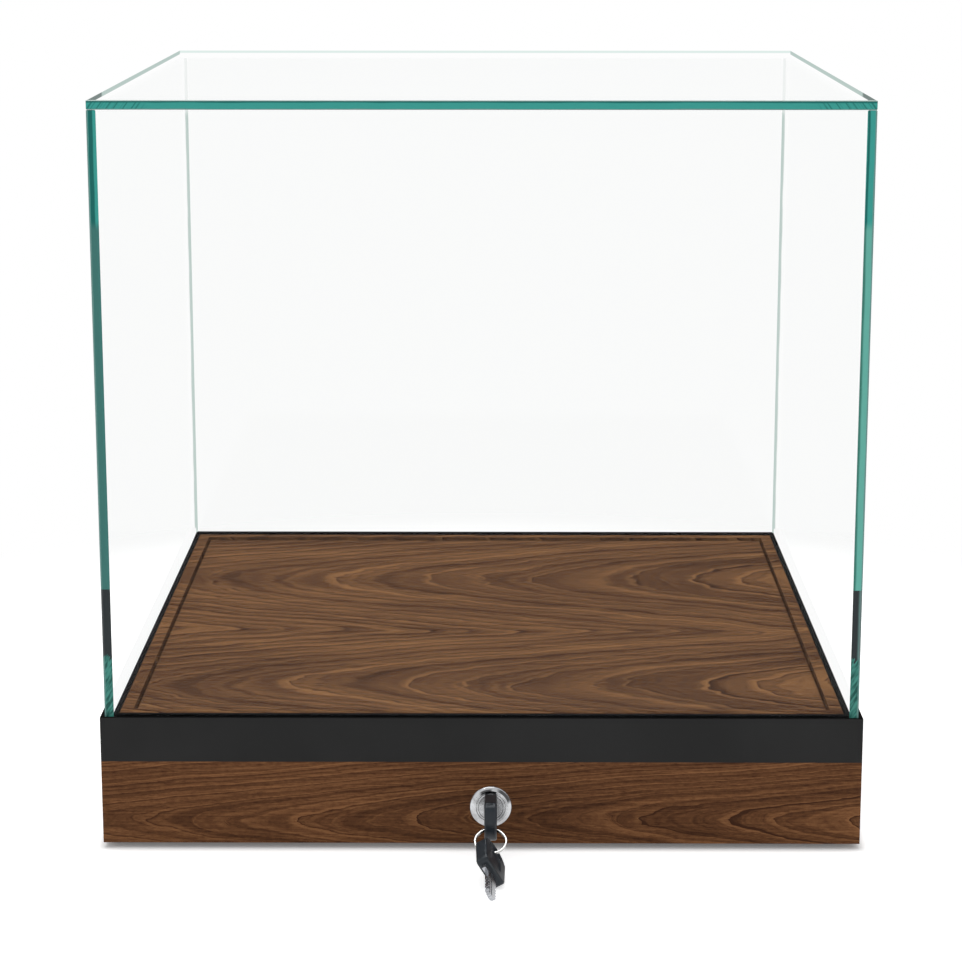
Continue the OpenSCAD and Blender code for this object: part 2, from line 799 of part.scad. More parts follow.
module ring_at_origin() {
    sides = 8;
    ring_sweep = 360 * ring_turns - 2 * ring_end;
    points = [
        for (i = [0 : ring_steps], k = [0 : sides - 1])
            let (a = ring_end + i * ring_sweep / ring_steps, c = wire_corner(k))
            [(ring_r + c[0]) * sin(a), c[1] + coil_height(a), (ring_r + c[0]) * cos(a)]
    ];
    walls = [
        for (i = [0 : ring_steps - 1], k = [0 : sides - 1])
            let (n = (k + 1) % sides)
            each [
                [i * sides + k, (i + 1) * sides + n, i * sides + n],
                [i * sides + k, (i + 1) * sides + k, (i + 1) * sides + n]
            ]
    ];
    start_cap = [for (k = [0 : sides - 1]) k];
    end_cap = [for (k = [sides - 1 : -1 : 0]) ring_steps * sides + k];
    polyhedron(points, concat(walls, [start_cap], [end_cap]), convexity = 6);
}

module key_ring()
    color(steel)
    translate(ring_hook) rotate([-ring_lean, 0, 0]) translate([0, 0, -ring_r]) rotate([0, 180, 0])
    ring_at_origin();

// The spare key hangs on the ring's low side and slopes forward to the counter
module at_key_2()
    translate(ring_hook + 2 * ring_r * [0, -sin(ring_lean), -cos(ring_lean)])
    rotate([spare_slope, 0, 0]) rotate([0, -spare_turn, 0]) rotate([0, 0, 180])
    translate([0, -spare_slot, 0]) children();
module key_2_head() at_key_2() key_head();
module key_2_blade() at_key_2() key_blade();

glass_top();
glass_front();
glass_back();
glass_left();
glass_right();
rail_front();
rail_back();
rail_left();
rail_right();
rail_corner_keys();
glazing_seal();
hood_catch();
catch_screws();
skirt_front();
skirt_back();
skirt_left();
skirt_right();
upstand_front();
upstand_back();
upstand_left();
upstand_right();
deck_panel();
deck_cleats();
bottom_panel();
bottom_cleats();
bottom_screws();
rubber_feet();
lock_housing();
lock_nut();
lock_plug();
lock_wafers();
lock_cam();
cam_screw();
key_1_head();
key_1_blade();
key_ring();
key_2_head();
key_2_blade();
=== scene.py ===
"""Countertop display case: the finishes, the smooth keys and ring, and the studio.

Lengths are in metres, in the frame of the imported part: +Z is up, the front with the lock faces -Y, and the
origin is on the counter at the centre of the footprint. Each operator finishes one group of pieces.
"""

import json
import math

import bpy
import numpy as np
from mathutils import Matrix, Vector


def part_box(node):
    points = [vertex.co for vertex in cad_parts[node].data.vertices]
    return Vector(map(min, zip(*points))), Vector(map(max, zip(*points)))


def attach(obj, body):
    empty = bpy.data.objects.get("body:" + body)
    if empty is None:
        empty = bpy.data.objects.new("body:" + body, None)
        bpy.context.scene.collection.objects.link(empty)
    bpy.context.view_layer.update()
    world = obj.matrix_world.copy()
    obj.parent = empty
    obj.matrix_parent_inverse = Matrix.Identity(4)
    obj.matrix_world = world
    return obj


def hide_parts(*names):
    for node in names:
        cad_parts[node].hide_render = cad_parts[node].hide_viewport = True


bl_info = {
    "name": "Display Case Finishes",
    "version": (1, 0, 0),
    "blender": (4, 5, 0),
    "location": "3D View > Sidebar > Display Case",
    "description": "Walnut, glass, metal and plastic for a lockable countertop display case",
    "category": "Object",
}

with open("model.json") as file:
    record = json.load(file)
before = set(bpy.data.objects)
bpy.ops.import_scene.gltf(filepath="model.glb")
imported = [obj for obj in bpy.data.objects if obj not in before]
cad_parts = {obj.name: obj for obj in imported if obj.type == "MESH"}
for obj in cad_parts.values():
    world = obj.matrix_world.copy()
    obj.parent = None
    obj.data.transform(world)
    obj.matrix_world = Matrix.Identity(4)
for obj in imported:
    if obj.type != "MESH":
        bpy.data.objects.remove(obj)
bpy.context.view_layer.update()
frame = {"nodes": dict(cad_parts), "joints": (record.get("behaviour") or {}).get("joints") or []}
NODES = frame["nodes"]
JOINTS = {joint["name"]: joint for joint in frame["joints"]}
MM = 0.001


def tone(red, green, blue):
    """A colour as a display shows it, in steps of 255, turned to the linear values that shaders take."""
    share = np.array([red, green, blue]) / 255
    return tuple(np.where(share <= 0.04045, share / 12.92, ((share + 0.055) / 1.055) ** 2.4).tolist())


def opaque(colour):
    """A colour with full alpha, as colour sockets take it."""
    return (*colour[:3], 1.0)


class Finish:
    """A material's node tree, with short ways to add nodes and to join them."""

    def __init__(self, name):
        self.material = bpy.data.materials.new(name)
        self.material.use_nodes = True
        self.tree = self.material.node_tree
        self.tree.nodes.clear()
        self.output = self.node("ShaderNodeOutputMaterial")

    def node(self, kind, **settings):
        made = self.tree.nodes.new(kind)
        for key, value in settings.items():
            setattr(made, key, value)
        return made

    def feed(self, socket, value):
        """Joins a socket to an output, or sets it to a plain value."""
        if isinstance(value, bpy.types.NodeSocket):
            self.tree.links.new(value, socket)
        else:
            socket.default_value = value

    def math(self, operation, *values):
        made = self.node("ShaderNodeMath", operation=operation)
        for socket, value in zip(made.inputs, values):
            self.feed(socket, value)
        return made.outputs[0]

    def total(self, *values):
        return self.chain("ADD", values)

    def times(self, *values):
        return self.chain("MULTIPLY", values)

    def chain(self, operation, values):
        """The values joined one after another by the same operation."""
        result = values[0]
        for value in values[1:]:
            result = self.math(operation, result, value)
        return result

    def minus(self, first, second):
        return self.math("SUBTRACT", first, second)

    def over(self, first, second):
        """The first divided by the second."""
        return self.math("DIVIDE", first, second)

    def size(self, value):
        return self.math("ABSOLUTE", value)

    def more(self, value, limit):
        """One where the value is above the limit, nothing elsewhere."""
        return self.math("GREATER_THAN", value, limit)

    def less(self, value, limit):
        """One where the value is below the limit, nothing elsewhere."""
        return self.math("LESS_THAN", value, limit)

    def split(self, vector):
        made = self.node("ShaderNodeSeparateXYZ")
        self.feed(made.inputs[0], vector)
        return made.outputs[0], made.outputs[1], made.outputs[2]

    def join(self, *values):
        made = self.node("ShaderNodeCombineXYZ")
        for socket, value in zip(made.inputs, values):
            self.feed(socket, value)
        return made.outputs[0]

    def place(self):
        """The point's X, Y and Z on the object."""
        return self.split(self.node("ShaderNodeTexCoord").outputs["Object"])

    def geometry(self, output):
        return self.node("ShaderNodeNewGeometry").outputs[output]

    def noise(self, vector, scale=1.0, detail=2.0, rough=0.5):
        made = self.node("ShaderNodeTexNoise")
        self.feed(made.inputs["Vector"], vector)
        for name, value in (("Scale", scale), ("Detail", detail), ("Roughness", rough)):
            self.feed(made.inputs[name], value)
        return made.outputs[0]

    def noise_along(self, distance, scale, detail=2.0):
        """Noise that depends on one number alone."""
        made = self.node("ShaderNodeTexNoise", noise_dimensions="1D")
        self.feed(made.inputs["W"], distance)
        self.feed(made.inputs["Scale"], scale)
        self.feed(made.inputs["Detail"], detail)
        return made.outputs[0]

    def swing(self, noise, amount):
        """Noise moved to swing about nothing, by up to about the amount either way."""
        return self.times(self.minus(noise, 0.5), 2 * amount)

    def ease(self, value, low, high, start=0.0, end=1.0):
        """Runs smoothly from start to end while the value goes from low to high."""
        made = self.node("ShaderNodeMapRange", interpolation_type="SMOOTHSTEP")
        for socket, number in zip(made.inputs, (value, low, high, start, end)):
            self.feed(socket, number)
        return made.outputs[0]

    def within(self, value, low, high, soft):
        """One between low and high, nothing outside, with soft ends."""
        rise = self.ease(self.minus(value, low), -soft, soft)
        return self.minus(rise, self.ease(self.minus(value, high), -soft, soft))

    def pick(self, factor, first, second):
        """A number that is the first where the factor is 0 and the second where it is 1."""
        made = self.node("ShaderNodeMix", data_type="FLOAT")
        for socket, value in zip(made.inputs[0:1] + made.inputs[2:4], (factor, first, second)):
            self.feed(socket, value)
        return made.outputs[0]

    def colour(self, factor, first, second):
        made = self.node("ShaderNodeMix", data_type="RGBA")
        for index, value in ((0, factor), (6, first), (7, second)):
            self.feed(made.inputs[index], value)
        return made.outputs[2]

    def ramp(self, factor, stops):
        made = self.node("ShaderNodeValToRGB")
        elements = made.color_ramp.elements
        while len(elements) < len(stops):
            elements.new(0.5)
        for element, (place, colour) in zip(elements, stops):
            element.position = place
            element.color = opaque(colour)
        self.feed(made.inputs[0], factor)
        return made.outputs[0]

    def bump(self, height, distance, strength=1.0):
        made = self.node("ShaderNodeBump")
        self.feed(made.inputs["Height"], height)
        self.feed(made.inputs["Distance"], distance)
        self.feed(made.inputs["Strength"], strength)
        return made.outputs[0]

    def shader(self, kind, **sockets):
        made = self.node(kind)
        for name, value in sockets.items():
            self.feed(made.inputs[name.replace("_", " ")], value)
        return made.outputs[0]

    def mixed(self, factor, first, second):
        made = self.node("ShaderNodeMixShader")
        for socket, value in zip(made.inputs, (factor, first, second)):
            self.feed(socket, value)
        return made.outputs[0]

    def done(self, shader):
        self.tree.links.new(shader, self.output.inputs["Surface"])
        return self.material


def finish_nodes(material, *names):
    """Puts a material into every slot of the named nodes."""
    for name in names:
        for slot in NODES[name].material_slots:
            slot.material = material


def surface(name, points, faces_around, material, body, replaced):
    """A closed or open grid of points (rows, columns, 3) made a smooth piece that stands for CAD nodes.

    faces_around says whether the rows and the columns close on themselves.
    """
    rows, columns = points.shape[:2]
    wrap_rows, wrap_columns = faces_around
    index = np.arange(rows * columns).reshape(rows, columns)
    below = np.roll(index, -1, axis=0) if wrap_rows else index[1:]
    start = index if wrap_rows else index[:-1]
    corners = [start, np.roll(start, -1, axis=1), np.roll(below, -1, axis=1), below]
    if not wrap_columns:
        corners = [corner[:, :-1] for corner in corners]
    quads = np.stack(corners, axis=-1).reshape(-1, 4)
    mesh = bpy.data.meshes.new(name)
    mesh.from_pydata(points.reshape(-1, 3).tolist(), [], quads.tolist())
    mesh.polygons.foreach_set("use_smooth", np.ones(len(mesh.polygons), bool))
    mesh.update()
    mesh.materials.append(material)
    piece = bpy.data.objects.new(name, mesh)
    bpy.context.scene.collection.objects.link(piece)
    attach(piece, body)
    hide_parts(*replaced)
    return piece


# Settings


class WalnutSettings(bpy.types.PropertyGroup):
    """The walnut of the skirt, the rim and the deck."""

    deck_dark: bpy.props.FloatVectorProperty(
        name="Deck dark", description="Latewood lines of the deck",
        subtype="COLOR", default=tone(61, 42, 32),
    )
    deck_middle: bpy.props.FloatVectorProperty(
        name="Deck middle", description="Body colour of the deck",
        subtype="COLOR", default=tone(97, 68, 47),
    )
    deck_light: bpy.props.FloatVectorProperty(
        name="Deck light", description="Earlywood of the deck",
        subtype="COLOR", default=tone(137, 99, 65),
    )
    skirt_dark: bpy.props.FloatVectorProperty(
        name="Skirt dark", description="Latewood lines of the skirt",
        subtype="COLOR", default=tone(59, 33, 17),
    )
    skirt_middle: bpy.props.FloatVectorProperty(
        name="Skirt middle", description="Body colour of the skirt",
        subtype="COLOR", default=tone(95, 61, 37),
    )
    skirt_light: bpy.props.FloatVectorProperty(
        name="Skirt light", description="Earlywood of the skirt",
        subtype="COLOR", default=tone(134, 91, 58),
    )
    arch_spacing: bpy.props.FloatProperty(
        name="Arch spacing", description="Distance between two arches of the grain",
        default=33 * MM, unit="LENGTH",
    )
    roughness: bpy.props.FloatProperty(
        name="Roughness", description="Roughness of the oiled surface", default=0.5, subtype="FACTOR"
    )


class GlassSettings(bpy.types.PropertyGroup):
    """The clear float glass and its green edges."""

    edge_light: bpy.props.FloatVectorProperty(
        name="Edge light", description="Bright green of the edges",
        subtype="COLOR", default=tone(62, 164, 154),
    )
    edge_mid: bpy.props.FloatVectorProperty(
        name="Edge middle", description="Shaded green of the edges",
        subtype="COLOR", default=tone(67, 127, 121),
    )
    edge_dark: bpy.props.FloatVectorProperty(
        name="Edge dark", description="Deep green of the edges",
        subtype="COLOR", default=tone(27, 108, 102),
    )
    edge_grey: bpy.props.FloatVectorProperty(
        name="Arris grey", description="Grey green of the ground arris",
        subtype="COLOR", default=tone(112, 152, 147),
    )
    edge_black: bpy.props.FloatVectorProperty(
        name="Edge black", description="Where an edge looks down on the rail",
        subtype="COLOR", default=tone(51, 57, 59),
    )
    joint: bpy.props.FloatVectorProperty(
        name="Bonded joint", description="An edge seen through its glue line",
        subtype="COLOR", default=tone(186, 203, 198),
    )
    clear: bpy.props.FloatVectorProperty(
        name="Clear", description="What one face lets through",
        subtype="COLOR", default=(0.988, 0.990, 0.989),
    )
    gloss: bpy.props.FloatProperty(
        name="Most gloss", description="Most light that a face reflects", default=0.006, subtype="FACTOR"
    )


class MetalSettings(bpy.types.PropertyGroup):
    """The rail frame, the lock and the hidden metal."""

    rail: bpy.props.FloatVectorProperty(
        name="Rail", description="Matt black coat of the rails", subtype="COLOR", default=tone(50, 50, 50)
    )
    chrome: bpy.props.FloatVectorProperty(
        name="Chrome", description="Plated lock face and plug", subtype="COLOR", default=tone(196, 197, 199)
    )
    steel: bpy.props.FloatVectorProperty(
        name="Steel", description="Zinc plated steel", subtype="COLOR", default=tone(176, 178, 180)
    )
    brass: bpy.props.FloatVectorProperty(
        name="Brass", description="The lock's wafers", subtype="COLOR", default=tone(196, 160, 92)
    )


class KeySettings(bpy.types.PropertyGroup):
    """The moulded key heads and the split ring."""

    plastic: bpy.props.FloatVectorProperty(
        name="Plastic", description="Moulded black of the heads", subtype="COLOR", default=tone(33, 39, 45)
    )
    head_length: bpy.props.FloatProperty(
        name="Head length", description="Length of a moulded head", default=24 * MM, unit="LENGTH"
    )
    head_width: bpy.props.FloatProperty(
        name="Head width", description="Width of a moulded head", default=20.5 * MM, unit="LENGTH"
    )
    head_thickness: bpy.props.FloatProperty(
        name="Head thickness", description="Thickness of a moulded head", default=6.5 * MM, unit="LENGTH"
    )
    spare_slope: bpy.props.FloatProperty(
        name="Spare slope", description="Slope of the spare key", default=math.radians(10), subtype="ANGLE"
    )
    spare_turn: bpy.props.FloatProperty(
        name="Spare turn", description="Turn of the spare key about its length",
        default=math.radians(30), subtype="ANGLE",
    )
    wire_width: bpy.props.FloatProperty(
        name="Wire width", description="Width of the ring's flat wire", default=1.2 * MM, unit="LENGTH"
    )
    wire_height: bpy.props.FloatProperty(
        name="Wire height", description="Height of the ring's flat wire", default=0.74 * MM, unit="LENGTH"
    )


class StageSettings(bpy.types.PropertyGroup):
    """The camera, the floor and the light."""

    camera_place: bpy.props.FloatVectorProperty(
        name="Camera", description="Where the camera stands", subtype="XYZ", unit="LENGTH",
        default=(7.8 * MM, -1500.6 * MM, 500.6 * MM),
    )
    camera_pitch: bpy.props.FloatProperty(
        name="Pitch", description="How far the camera looks down", default=0.2089, subtype="ANGLE"
    )
    camera_yaw: bpy.props.FloatProperty(
        name="Yaw", description="How far the camera turns left", default=0.0061, subtype="ANGLE"
    )
    camera_lens: bpy.props.FloatProperty(
        name="Lens", description="Focal length in millimetres on a 36 mm sensor", default=97.28
    )
    camera_shift: bpy.props.FloatProperty(
        name="Shift", description="Upward shift of the lens, as a share of the frame", default=-0.05
    )
    sky: bpy.props.FloatProperty(name="Sky", description="Level of the even light all round", default=0.78)
    lamp: bpy.props.FloatProperty(
        name="Lamp", description="Power of the wide lamp overhead", default=16.0, unit="POWER"
    )
    lamp_size: bpy.props.FloatProperty(
        name="Lamp size", description="Width of the lamp", default=1.6, unit="LENGTH"
    )
    lamp_place: bpy.props.FloatVectorProperty(
        name="Lamp place", description="Where the lamp hangs", subtype="XYZ", unit="LENGTH",
        default=(-0.25, 0.35, 2.0),
    )
    floor_size: bpy.props.FloatProperty(
        name="Floor", description="Width of the floor", default=16.0, unit="LENGTH"
    )


# Wood


def rim_cut(f, x):
    """One on the rim's boards, nothing on the deck between them, by the distance from the middle."""
    return f.more(f.size(x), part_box("deck_panel")[1].x)


def walnut(name, settings, along, rows, gap, tones, sheen):
    """Flat-sawn walnut veneer, for boards that run along X (0) or Y (1). sheen is its specular level.

    A growth ring is a cone about the log's pith, and a cut beside the pith meets it in a hyperbola. So the
    ring number is (sqrt(across^2 + depth^2) - depth) / gap - along / spacing: it draws nested arches along
    the row's middle and nearly straight lines, one gap apart, far from it. rows holds, for each log side by
    side in the sheet, its middle across the board, the depth of the cut and where its arches start. Each
    ring ends in a dark line with a bright one behind it, as wide as the rings' spacing there leaves room
    for. Noise scales are in waves per metre, along and across the grain.
    """
    f = Finish(name)
    x, y, z = f.place()
    up = f.split(f.geometry("True Normal"))[2]
    flat = f.more(f.size(up), 0.5)
    u = x if along == 0 else f.pick(flat, y, x)
    v = f.pick(flat, z, y)
    spacing = settings.arch_spacing
    wide = gap > 4 * MM

    def stretched(along_scale, across_scale, layer=0.0):
        return f.join(f.times(u, along_scale), f.times(v, across_scale), layer)

    # How the rings bend: slow bends of the log, arches out of step, waves in a ring and its ragged tips
    sway = f.swing(f.noise(stretched(8, 14), detail=2), 1.6 * gap)
    drift = f.swing(f.noise(stretched(13, 17, 3.0), detail=2), 16 * MM)
    ripple = f.swing(f.noise(stretched(48, 120, 5.0), detail=3), 0.30)
    jag = f.swing(f.noise(stretched(170, 380, 8.0), detail=2), 0.07 if wide else 0.06)
    ring = pace = None
    for middle, depth, start in rows:
        across = f.total(f.minus(v, middle), sway)
        radius = f.math("SQRT", f.math("MULTIPLY_ADD", across, across, depth * depth))
        number = f.over(f.minus(radius, depth), gap)
        number = f.minus(number, f.over(f.total(u, start, drift), spacing))
        steep = f.over(f.over(across, radius), gap)
        rate = f.math("SQRT", f.math("MULTIPLY_ADD", steep, steep, 1 / spacing**2))
        if ring is None:
            ring, pace = number, rate
        else:
            pace = f.pick(f.less(number, ring), pace, rate)
            ring = f.math("SMOOTH_MIN", ring, number, 2.0)
    ring = f.total(ring, 40.0, ripple, jag)
    ring = f.total(ring, f.swing(f.noise_along(ring, 0.9), 0.6))

    # What a ring shows: its dark end, the bright start of the next, and its own depth of tone
    season = f.math("FRACT", ring)
    strength = f.ease(f.noise_along(ring, 0.8, 1), 0.34, 0.64, 0.3 if wide else 0.15, 1.0)
    strength = f.times(strength, f.total(f.over(0.55 / spacing, pace), 0.45))
    before = f.over(f.minus(1.0, season), pace)
    late = f.times(f.ease(before, 2.2 * MM, 0.1 * MM), strength)
    after = f.over(season, pace)
    early = f.times(f.ease(after, 6 * MM, 0.1 * MM), strength)
    slope = f.times(f.minus(0.5, season), 0.16)
    bands = f.swing(f.noise_along(ring, 0.45, 1), 0.42 if wide else 0.27)
    lines = f.swing(f.noise_along(ring, 6.5, 4), 0.42 if wide else 0.46)
    # What lies over the rings: clouds, fibres that fade at the arches' tips, pores and flecks
    cloud = f.swing(f.noise(stretched(4, 22, 2.0), detail=3), 0.34)
    fibre = f.swing(f.noise(stretched(20, 430 if wide else 950, 1.0), detail=4, rough=0.64), 0.66)
    fibre = f.times(fibre, f.ease(pace, 1 / spacing, 3 / spacing, 0.4, 1.0))
    pores = f.ease(f.noise(stretched(220, 1500, 4.0), detail=1), 0.58, 0.70)
    flecks = f.swing(f.noise(stretched(260, 560, 6.0), detail=3, rough=0.75), 0.42)
    late_depth, early_depth, pore_depth = -1.05 if wide else -0.70, 0.50 if wide else 0.40, -0.22
    shade = f.total(
        0.5, f.times(late, late_depth), f.times(early, early_depth),
        slope, bands, lines, cloud, fibre, flecks, f.times(pores, pore_depth),
    )
    corner = f.minus(f.size(x), f.size(y))
    mitre = f.times(f.within(corner, -0.25 * MM, 0.25 * MM, 0.1 * MM), flat)
    shade = f.minus(shade, f.times(mitre, rim_cut(f, x), 0.3))
    dark, middle_tone, light = tones
    colour = f.ramp(shade, ((0.0, dark), (0.5, middle_tone), (1.0, light)))
    relief = f.total(f.minus(f.times(fibre, 0.8), pores), f.times(late, 0.3))
    return f.done(f.shader(
        "ShaderNodeBsdfPrincipled",
        Base_Color=colour,
        Roughness=f.total(settings.roughness, f.times(late, -0.08)),
        Specular_IOR_Level=sheen,
        Normal=f.bump(relief, 0.05 * MM, 0.5),
    ))


def plywood(name):
    """Pale birch ply: a soft straight grain, with the plies as lines on the panel's edges."""
    f = Finish(name)
    x, y, z = f.place()
    grain = f.noise(f.join(f.times(x, 14), f.times(y, 320), z), detail=3)
    two_plies = 2.4 * MM
    plies = f.math("SINE", f.times(z, 2 * math.pi / two_plies))
    side = f.less(f.size(f.split(f.geometry("True Normal"))[2]), 0.5)
    shade = f.total(grain, f.times(plies, side, 0.2))
    dark, middle_tone, light = tone(150, 118, 84), tone(190, 158, 118), tone(212, 184, 146)
    colour = f.ramp(shade, ((0.25, dark), (0.5, middle_tone), (0.8, light)))
    return f.done(f.shader(
        "ShaderNodeBsdfPrincipled", Base_Color=colour, Roughness=0.62, Normal=f.bump(grain, 0.1 * MM, 0.5)
    ))


# Glass

# Painted reflections: tones that the side walls' ends and the lid's edge take from what they mirror
CORE_LEFT, CORE_RIGHT = tone(67, 123, 117), tone(106, 184, 170)
INNER_LEFT, BACK_PALE = tone(64, 128, 116), tone(224, 238, 234)
GROUND_DARK, GROUND_LIGHT = tone(34, 84, 77), tone(74, 146, 134)
RIM_LEFT, RIM_RIGHT = tone(112, 126, 125), tone(90, 92, 94)


def side_wall():
    """How far a side wall's inner and outer faces lie from the middle, and how high the rail's lips are."""
    low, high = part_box("glass_left")
    return (-high.x, -low.x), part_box("rail_left")[1].z


def glass(name, settings, thin, strip, foot=None):
    """Float glass: clear on its large faces, green on its narrow ones.

    thin is the axis across the panel. strip gives where the panel's inner and outer faces lie along it, so
    a share runs across each edge from 0 inside to 1 outside. foot is the height of the rail's lips, for the
    side walls: seen through the glass, their buried foot is painted white with emission, a painted
    reflection of the white surroundings that hides the lip behind it. An edge that faces away shows from
    inside as a pale line of emission, a painted glow, and the bonded ends of the front and back panels don't
    show.
    """
    f = Finish(name)
    x, y, z = place = f.place()
    normal = f.split(f.geometry("True Normal"))
    sizes = [f.size(value) for value in normal]
    face = f.more(sizes[thin], 0.9)
    away = f.geometry("Backfacing")
    inner, outer = strip
    across = f.size(place[thin]) if thin < 2 else z
    across = f.over(f.minus(across, inner), outer - inner)
    shiver = f.swing(f.noise(f.join(x, y, z), scale=45, detail=2), 0.10)
    across_edge = f.total(across, shiver)

    if thin == 2:
        colour, far, seen = lid_edge(f, settings, place, sizes, across_edge, away)
    elif thin == 0:
        colour, far, seen = upright_edge(f, settings, place, sizes, across_edge, away, foot)
    else:
        colour, far, seen = opaque(settings.joint), opaque(settings.joint), 0.0
    edge = f.shader("ShaderNodeBsdfPrincipled", Base_Color=colour, Roughness=0.2, Specular_IOR_Level=0.12)
    # Painted glow: an edge seen from inside shows its far colour as emission.
    edge = f.mixed(away, edge, f.shader("ShaderNodeEmission", Color=far, Strength=1.0))
    edge = f.mixed(seen, f.shader("ShaderNodeBsdfTransparent"), edge)

    fresnel = f.node("ShaderNodeFresnel")
    fresnel.inputs["IOR"].default_value = 1.5
    pane = f.mixed(
        f.math("MINIMUM", f.times(fresnel.outputs[0], 0.15), settings.gloss),
        f.shader("ShaderNodeBsdfTransparent", Color=opaque(settings.clear)),
        f.shader("ShaderNodeBsdfGlossy", Color=(1.0, 1.0, 1.0, 1.0), Roughness=0.02),
    )
    if foot is None:
        return f.done(f.mixed(face, edge, pane))
    # Painted reflection: where the side walls' outer faces are seen from behind low down, white emission
    # stands for the white surroundings that the glass mirrors there.
    white = f.shader("ShaderNodeEmission", Color=(1.0, 1.0, 1.0, 1.0), Strength=1.0)
    outside = f.times(f.more(across, 0.5), away)
    hidden_lip = foot + 5.5 * MM
    low = f.times(over_lip(f, z, across, foot), f.less(z, hidden_lip))
    return f.done(f.mixed(face, edge, f.mixed(f.times(outside, low), pane, white)))


def over_lip(f, z, across, foot):
    """One where a ray from the front enters a side wall above the rail's lip. The ray drops on its way from
    the inner face to the outer one, and across is its share of that way."""
    drop, clearance = 11 * MM, 2.9 * MM
    return f.more(f.math("MULTIPLY_ADD", across, drop, z), foot + clearance)


def upright_edge(f, settings, place, sizes, across, away, foot):
    """The end of a side wall: its colour outside, its colour from inside, and how much of it shows. Up the
    edge come ground streaks, a dark stretch that is a painted reflection of the rail, an even green, and a
    deep green band under the lid. The two walls differ, as each takes painted reflections of its own
    surroundings. From inside the edge shows as a painted pale glow."""
    x, z = place[0], place[2]
    streaks_top, black_top, band_foot = foot + 33 * MM, foot + 69 * MM, foot + 259 * MM
    line_fade = 354 * MM
    light, dark, mid = opaque(settings.edge_light), opaque(settings.edge_dark), opaque(settings.edge_mid)
    grey, black = opaque(settings.edge_grey), opaque(settings.edge_black)
    right = f.more(x, 0.0)
    core = f.colour(right, opaque(CORE_LEFT), opaque(CORE_RIGHT))
    even = f.colour(f.ease(across, 0.34, 0.14), core, f.colour(right, mid, opaque(INNER_LEFT)))
    band = f.within(across, f.pick(right, 0.34, 0.06), f.pick(right, 0.80, 0.30), 0.07)
    colour = f.colour(f.ease(z, band_foot - 3 * MM, band_foot + 3 * MM), even, f.colour(band, light, dark))
    side = f.minus(f.times(right, 2.0), 1.0)
    lean = f.times(side, across, -2.6)
    streaks = f.noise(f.join(f.total(f.times(z, 360), lean), across, 0.0), detail=2)
    ground = f.colour(f.ease(streaks, 0.36, 0.62), opaque(GROUND_DARK), opaque(GROUND_LIGHT))
    ragged = f.total(z, f.swing(streaks, 9 * MM))
    colour = f.colour(f.ease(ragged, streaks_top + 2 * MM, streaks_top - 1 * MM), colour, ground)
    # Painted reflection of the rail: a dark stretch above the streaks.
    painted_rail_reflection = f.times(f.more(ragged, streaks_top), f.less(z, black_top))
    mirror = f.colour(f.ease(across, 0.55, 0.9), black, f.colour(right, black, grey))
    colour = f.colour(painted_rail_reflection, colour, mirror)
    rim_tone = f.colour(painted_rail_reflection, grey, f.colour(right, opaque(RIM_RIGHT), opaque(RIM_LEFT)))
    colour = f.colour(f.ease(across, 0.78, 0.88), colour, rim_tone)
    colour = f.colour(f.times(f.ease(across, 0.90, 0.98), 0.35), colour, dark)
    end = f.more(sizes[1], 0.3)
    # Painted glow: from inside, a pale line of emission, with the buried foot in the joint colour.
    line = f.times(f.within(across, -0.2, 0.46, 0.10), f.more(sizes[1], 0.9))
    line = f.times(line, f.ease(z, line_fade - 4 * MM, line_fade + 4 * MM, 0.95, 0.22), f.more(z, foot))
    buried = f.times(f.less(z, foot + 3 * MM), over_lip(f, z, across, foot), f.more(across, 0.29))
    seen = f.times(end, f.pick(away, 1.0, f.math("MAXIMUM", line, buried)))
    return colour, f.colour(buried, opaque(settings.joint), (0.96, 0.96, 0.96, 1.0)), seen


def lid_edge(f, settings, place, sizes, across, away):
    """The lid's edge: its colour outside, its colour from inside, and how much of it shows. It is green with
    a dark line under its upper arris, and streaked near the corners; its upper arris is a pale painted
    highlight. From inside the far edges show as a painted glow in their upper half alone, palest at the
    back, and greyer near the front corners."""
    x, y, z = place
    low, high = (corner.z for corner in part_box("glass_top"))
    light, dark, joint = opaque(settings.edge_light), opaque(settings.edge_dark), opaque(settings.joint)
    line = f.within(across, 0.74, 1.10, 0.05)
    colour = f.colour(f.times(line, 0.95), light, dark)
    run = f.size(x)
    slanted = f.total(f.times(run, 620), f.times(across, 2.2))
    streaks = f.noise(f.join(slanted, 0.0, 0.0), detail=2)
    corner = f.times(f.ease(run, 166 * MM, 174 * MM), f.ease(streaks, 0.50, 0.43))
    colour = f.colour(f.times(corner, 0.72), colour, dark)
    colour = f.colour(f.ease(across, 0.16, 0.04), colour, opaque(settings.edge_grey))
    # Painted highlight: the upper arris, which slants up, takes the pale joint colour.
    slanting = f.more(sizes[2], 0.3)
    arris = f.times(slanting, f.more(z, (low + high) / 2))
    colour = f.colour(arris, colour, joint)
    # Painted glow: the colours that the far edges show from inside, as emission.
    back = f.more(sizes[1], 0.5)
    near = f.ease(y, -140 * MM, -146 * MM)
    far = f.colour(near, joint, f.colour(0.62, joint, opaque(settings.edge_black)))
    far = f.colour(back, far, opaque(BACK_PALE))
    level = f.over(f.minus(z, low), high - low)
    upper = f.ease(f.minus(level, f.pick(back, 0.45, 0.62)), -0.04, 0.04)
    upper = f.times(upper, f.minus(1.0, slanting))
    return colour, far, f.pick(away, 1.0, upper)


# Metal and plastic


